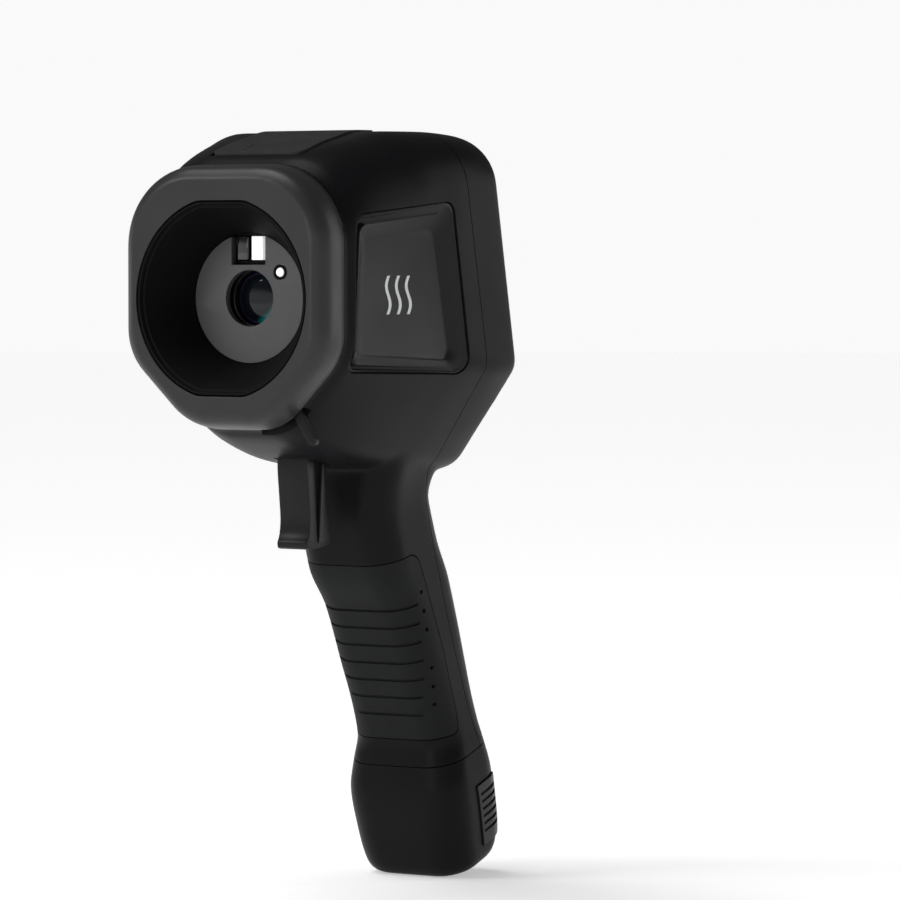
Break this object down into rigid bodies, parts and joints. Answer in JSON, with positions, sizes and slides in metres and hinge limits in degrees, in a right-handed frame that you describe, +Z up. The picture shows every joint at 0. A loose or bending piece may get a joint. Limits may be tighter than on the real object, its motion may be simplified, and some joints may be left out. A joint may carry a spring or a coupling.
{
  "type": "handheld thermal imaging camera",
  "caption": "Pistol-grip thermal imaging camera with a recessed infrared lens, a trigger, a leaning rear display with keys, a roof connector cover and a slide-out battery in the grip base.",
  "frame": {"origin": "below the middle of the bounding box, level with the lowest point of the upright camera, whose lens axis is level", "axes": "-Y is the way the lens looks, +Y is the display side, +Z is up and +X is the operator's left"},
  "size_m": [0.095, 0.14, 0.244],
  "materials": {
    "housing_black": "fine matt texture",
    "satin_black": "satin",
    "recess_black": "matt",
    "face_grey": "satin",
    "grip_rubber": "soft matt, ridged",
    "cover_rubber": "soft matt",
    "key_rubber": "soft matt",
    "pad_gloss": "satin gloss",
    "bezel_gloss": "glossy, backed in black",
    "screen_gloss": "glossy display",
    "lens_coated": "coated germanium",
    "dark_window": "polished",
    "lamp_diffuser": "diffusing",
    "anodised_black": "black anodised",
    "cast_alloy": "blasted",
    "plaque_alloy": "brushed",
    "plated_steel": "nickel plated",
    "circuit_green": "solder mask",
    "chip_black": "moulded",
    "cell_sleeve": "shrink sleeve",
    "contact_brass": "gold plated"
  },
  "bodies": {
    "housing": {"main_housing": "housing_black", "rear_cover": "housing_black", "front_shroud": "satin_black", "recess_liner": "recess_black", "face_plate": "face_grey", "ir_lens": "lens_coated", "lens_barrel": "anodised_black", "lens_frame": "cast_alloy", "optics_block": "housing_black", "visual_window": "dark_window", "lamp_window": "lamp_diffuser", "emitter_window": "lamp_diffuser", "sensor_core": "cast_alloy", "sensor_board": "circuit_green", "flag_motor": "cast_alloy", "side_panel_left": "satin_black", "side_panel_right": "satin_black", "usb_socket": "plated_steel", "grip_sleeve": "grip_rubber", "trigger_pin": "plated_steel", "trigger_switch": "pad_gloss", "main_board": "circuit_green", "board_chips": "chip_black", "display_module": "cast_alloy", "keypad_board": "circuit_green", "display_bezel": "bezel_gloss", "screen": "screen_gloss", "name_plate": "plaque_alloy", "dock_contacts": "contact_brass", "grip_board": "circuit_green"},
    "trigger": {"trigger": "satin_black"},
    "shutter": {"shutter_blade": "anodised_black", "shutter_lever": "satin_black"},
    "flag": {"calibration_flag": "anodised_black"},
    "cover": {"connector_cover": "cover_rubber"},
    "archive_key": {"archive_key": "key_rubber"},
    "back_key": {"back_key": "key_rubber"},
    "nav_carrier": {"nav_carrier": "cast_alloy"},
    "nav_pad": {"nav_pad": "pad_gloss"},
    "select_key": {"select_key": "key_rubber"},
    "power_key": {"power_key": "key_rubber", "power_light": "lamp_diffuser"},
    "battery": {"battery_case": "housing_black", "battery_cells": "cell_sleeve", "battery_contacts": "contact_brass", "charge_light": "lamp_diffuser"},
    "latch_left": {"latch_left": "satin_black"},
    "latch_right": {"latch_right": "satin_black"}
  },
  "joints": [
    {"name": "trigger_pull", "type": "hinge", "parent": "housing", "child": "trigger", "pos_m": [0, -0.021, 0.1505], "axis": [1, 0, 0], "range_deg": [0, 7], "stiffness_Nm_per_rad": 0.6, "springref_deg": -1.72},
    {"name": "shutter_turn", "type": "hinge", "parent": "housing", "child": "shutter", "pos_m": [0.014, -0.0502, 0.163], "axis": [0, 1, 0], "range_deg": [0, 45]},
    {"name": "flag_swing", "type": "hinge", "parent": "housing", "child": "flag", "pos_m": [0.016, -0.0283, 0.175], "axis": [0, 1, 0], "range_deg": [0, 50], "stiffness_Nm_per_rad": 0.0005, "springref_deg": -11.46},
    {"name": "cover_lift", "type": "hinge", "parent": "housing", "child": "cover", "pos_m": [0, -0.008, 0.24395], "axis": [-1, 0, 0], "range_deg": [0, 95]},
    {"name": "archive_press", "type": "slide", "parent": "housing", "child": "archive_key", "axis": [0, -0.9781, -0.2079], "range_m": [0, 0.0006], "stiffness_N_per_m": 900, "springref_m": -0.0001},
    {"name": "back_press", "type": "slide", "parent": "housing", "child": "back_key", "axis": [0, -0.9781, -0.2079], "range_m": [0, 0.0006], "stiffness_N_per_m": 900, "springref_m": -0.0001},
    {"name": "nav_tilt_up_down", "type": "hinge", "parent": "housing", "child": "nav_carrier", "pos_m": [0, 0.03029, 0.15509], "axis": [1, 0, 0], "range_deg": [-2.5, 2.5], "stiffness_Nm_per_rad": 0.5},
    {"name": "nav_tilt_left_right", "type": "hinge", "parent": "nav_carrier", "child": "nav_pad", "pos_m": [0, 0.03029, 0.15509], "axis": [0, -0.2079, 0.9781], "range_deg": [-2.5, 2.5], "stiffness_Nm_per_rad": 0.5},
    {"name": "select_press", "type": "slide", "parent": "housing", "child": "select_key", "axis": [0, -0.9781, -0.2079], "range_m": [0, 0.0006], "stiffness_N_per_m": 900, "springref_m": -0.0001},
    {"name": "power_press", "type": "slide", "parent": "housing", "child": "power_key", "axis": [0, -0.9781, -0.2079], "range_m": [0, 0.0006], "stiffness_N_per_m": 900, "springref_m": -0.0001},
    {"name": "battery_slide", "type": "slide", "parent": "housing", "child": "battery", "axis": [0, 0.309, -0.9511], "range_m": [0, 0.062]},
    {"name": "latch_left_press", "type": "slide", "parent": "battery", "child": "latch_left", "axis": [-1, 0, 0], "range_m": [0, 0.0014], "stiffness_N_per_m": 1200, "springref_m": -0.0002},
    {"name": "latch_right_press", "type": "slide", "parent": "battery", "child": "latch_right", "axis": [1, 0, 0], "range_m": [0, 0.0014], "stiffness_N_per_m": 1200, "springref_m": -0.0002}
  ]
}
